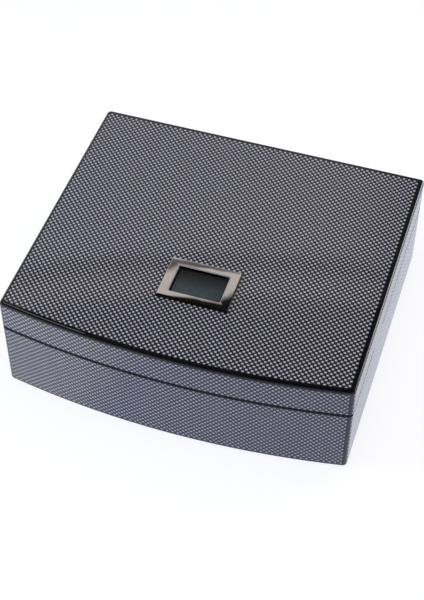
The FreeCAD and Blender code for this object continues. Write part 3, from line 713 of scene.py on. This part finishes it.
def studio_world():
    """White to the camera; a soft backdrop in a dim room to reflections."""
    world = bpy.data.worlds.new("studio")
    bpy.context.scene.world = world
    g = Graph(world)
    x, y, z = g.split(g.node("TexCoord").outputs["Generated"])
    rise = g.math("DEGREES", g.math("ARCSINE", z))
    heading = g.math("DEGREES", g.math("ARCTAN2", x, y))
    backdrop = g.ramp(g.math("DIVIDE", rise, 90.0), [(degrees / 90, colour) for degrees, colour in BACKDROP])
    inside = g.times(g.fade(heading, *BACKDROP_LEFT), g.fade(heading, *BACKDROP_RIGHT, start=1.0, end=0.0))
    dim = g.times(g.fade(heading, *DIM_LEFT), g.fade(heading, *DIM_RIGHT, start=1.0, end=0.0))
    room = g.tint(g.fade(rise, *WALL_TOP), g.tint(dim, WALL, WALL_DIM), ROOM)
    around = g.tint(g.fade(rise, *SWEEP_TOP), SWEEP, room)
    path = g.node("LightPath").outputs
    seen = g.most(path["Is Camera Ray"], path["Is Transmission Ray"])
    white = g.tint(g.fade(rise, *HORIZON), FLOOR_SEEN, grey(1.0))
    colour = g.tint(seen, g.tint(inside, around, backdrop), white)
    light = g.node("Background", {"Color": colour})
    g.node("OutputWorld", {"Surface": light.outputs[0]})


def floor_white():
    """White that keeps a soft shadow; reflections see it shaded in front and on the right."""
    g = Graph(bpy.data.materials.new("floor_white"))
    path = g.node("LightPath").outputs
    mirrored = g.most(path["Is Glossy Ray"], path["Is Transmission Ray"])
    seen = g.most(path["Is Camera Ray"], mirrored)
    x, y = g.split(g.place())[:2]
    front = g.times(g.fade(x, *FRONT_SHADE_X, start=FRONT_SHADE_LEFT), g.fade(y, *FRONT_SHADE_Y))
    around = g.tint(g.fade(x, *RIGHT_X), FLOOR_LEFT, FLOOR_RIGHT)
    mirror_tone = g.tint(front, around, FLOOR_FRONT)
    glow = g.node("Emission", {"Color": g.tint(mirrored, FLOOR_SEEN, mirror_tone)}).outputs[0]
    shade = g.node("BsdfDiffuse", {"Color": grey(FLOOR_SHADED)}).outputs[0]
    matt = g.node("BsdfDiffuse", {"Color": grey(FLOOR_MATT)}).outputs[0]
    lit = g.node("AddShader", {0: glow, 1: shade}).outputs[0]
    both = g.node("MixShader", {0: seen, 1: matt, 2: lit}).outputs[0]
    g.node("OutputMaterial", {"Surface": both})
    return g.owner


def studio_floor():
    """Large flat floor under the object."""
    mesh = bpy.data.meshes.new("floor")
    corners = [(x * FLOOR_HALF, y * FLOOR_HALF, 0.0) for x, y in ((-1, -1), (1, -1), (1, 1), (-1, 1))]
    mesh.from_pydata(corners, [], [(0, 1, 2, 3)])
    mesh.materials.append(floor_white())
    floor = bpy.data.objects.new("floor", mesh)
    bpy.context.scene.collection.objects.link(floor)


def softbox(name, place, size, power, colour=WHITE, mirrored=False):
    """Area lamp that faces the object; unless mirrored, the lacquer doesn't show it."""
    lamp = bpy.data.lights.new(name, "AREA")
    lamp.shape = "RECTANGLE"
    lamp.size, lamp.size_y = size
    lamp.energy = power
    lamp.color = colour
    holder = bpy.data.objects.new(name, lamp)
    holder.location = place
    holder.rotation_mode = "QUATERNION"
    away = (Vector(place) - OBJECT_MIDDLE).normalized()
    across = (Vector((1, 0, 0)) - away * away.x).normalized()
    axes = Matrix((across, away.cross(across), away)).transposed()
    holder.rotation_quaternion = axes.to_quaternion()
    holder.visible_glossy = mirrored
    holder.visible_camera = False
    bpy.context.scene.collection.objects.link(holder)


def photo_camera():
    """Camera at the photograph's viewpoint."""
    turn = math.radians(AZIMUTH)
    rise = math.radians(ELEVATION)
    roll = math.radians(ROLL)
    back = Vector((math.sin(turn) * math.cos(rise), -math.cos(turn) * math.cos(rise), math.sin(rise)))
    right = (-back).cross(Vector((0, 0, 1))).normalized()
    up = right.cross(-back)
    right_rolled = math.cos(roll) * right + math.sin(roll) * up
    up_rolled = -math.sin(roll) * right + math.cos(roll) * up
    data = bpy.data.cameras.new("camera")
    data.lens = LENS
    camera = bpy.data.objects.new("camera", data)
    place = back * DISTANCE + right_rolled * AIM_X + up_rolled * AIM_Y
    axes = Matrix((right_rolled, up_rolled, back)).transposed()
    camera.matrix_world = Matrix.Translation(place) @ axes.to_4x4()
    bpy.context.scene.collection.objects.link(camera)
    bpy.context.scene.camera = camera


# Materials of the CAD nodes
nickel_plate = metal("nickel_plate", (0.74, 0.71, 0.66, 1), gloss=(0.16, 0.32), brushed=(0.08, 1.0, 1.0),
                     waviness=0.03)
finish_nodes(nickel_plate)
soften(["lining_front", "lining_back", "lining_left", "lining_right", "divider", "divider_cleats",
        "lid_lining_front", "lid_lining_back", "lid_lining_left", "lid_lining_right"], CEDAR_EDGE)

# Pieces in place of plain CAD nodes
add_piece("base_screws", screw_set(RIM, -1), nickel_plate, "base", "hinge_base_screws")
add_piece("lid_screws", screw_set(LID_RIM, 1), nickel_plate, "lid", "hinge_lid_screws")
pad = add_piece("felt_sheet", build_felt, felt(), "base", "felt_pad")
block = add_piece("foam_block", build_foam, foam(), "lid", "humidifier_foam")

# Studio
studio_world()
studio_floor()
softbox("top_light", place=(0.45, 0.4, 1.5), size=(1.2, 1.2), power=6.9, colour=WARM_WHITE)
softbox("front_fill", place=(-1.5, -0.65, 0.75), size=(1.0, 1.0), power=15.0, colour=SKY_BLUE)
softbox("key_light", place=(0.0, -0.45, 1.15), size=(0.5, 0.3), power=3.3)
softbox("side_light", place=(1.1, 1.0, 0.40), size=(0.5, 0.35), power=4.0, mirrored=True)
softbox("edge_light", place=(-0.59, 0.02, 1.15), size=(0.30, 0.12), power=1.0, mirrored=True)
photo_camera()
bpy.context.scene.view_settings.view_transform = "Standard"
